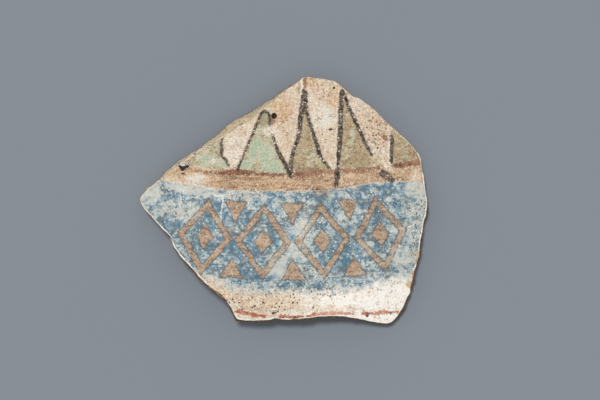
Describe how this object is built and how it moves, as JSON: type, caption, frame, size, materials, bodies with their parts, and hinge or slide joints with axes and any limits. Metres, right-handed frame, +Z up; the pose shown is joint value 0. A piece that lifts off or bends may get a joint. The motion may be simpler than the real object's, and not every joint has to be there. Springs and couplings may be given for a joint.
{
  "type": "painted pottery ostracon",
  "caption": "Curved sherd from the shoulder of a large round jar, painted with a petal frieze, coloured bands and a chain of lozenges, lying painted side up on its broken rim.",
  "frame": {"origin": "middle of the plan box, on the surface that the sherd rests on", "axes": "+X along the sherd's length, to the right in the picture; +Y towards the jar's neck; +Z up, out of the painted side"},
  "size_m": [0.1298, 0.1112, 0.0222],
  "materials": {
    "fired_clay": "rough fired earthenware, unglazed",
    "white_ground": "matt cream white slip, worn and pitted",
    "ochre_paint": "matt earth paint",
    "blue_paint": "matt grey blue frit paint, worn",
    "green_paint": "matt pale green paint",
    "khaki_paint": "matt olive paint",
    "red_paint": "matt red earth paint",
    "black_paint": "matt brown black line paint",
    "tan_paint": "matt orange tan paint",
    "lime_crust": "matt lime crust"
  },
  "bodies": {
    "root": {"clay_wall": "fired_clay", "white_ground": "white_ground", "lime_crust": "lime_crust", "ochre_band": "ochre_paint", "blue_band": "blue_paint", "petal_fill_1": "green_paint", "petal_fill_2": "green_paint", "petal_fill_3": "khaki_paint", "petal_fill_4": "khaki_paint", "petal_fill_5": "khaki_paint", "upper_red_line_1": "red_paint", "upper_red_line_2": "red_paint", "upper_red_line_3": "red_paint", "upper_red_line_4": "red_paint", "lower_red_line_1": "red_paint", "lower_red_line_2": "red_paint", "lower_red_line_3": "red_paint", "lower_red_line_4": "red_paint", "petal_stroke_1_right": "black_paint", "petal_stroke_2_left": "black_paint", "petal_stroke_2_right": "black_paint", "petal_stroke_3_left": "black_paint", "petal_stroke_3_right": "black_paint", "petal_stroke_4_left": "black_paint", "petal_stroke_4_right": "black_paint", "petal_stroke_5_left": "black_paint", "petal_foot_4": "black_paint", "petal_foot_5": "black_paint", "lozenge_1": "tan_paint", "lozenge_2": "tan_paint", "lozenge_3": "tan_paint", "lozenge_4": "tan_paint", "lozenge_heart_1": "tan_paint", "lozenge_heart_2": "tan_paint", "lozenge_heart_3": "tan_paint", "lozenge_heart_4": "tan_paint", "half_lozenge_upper_1": "tan_paint", "half_lozenge_upper_2": "tan_paint", "half_lozenge_upper_3": "tan_paint", "half_lozenge_lower_1": "tan_paint", "half_lozenge_lower_2": "tan_paint", "half_lozenge_lower_3": "tan_paint"}
  },
  "joints": []
}
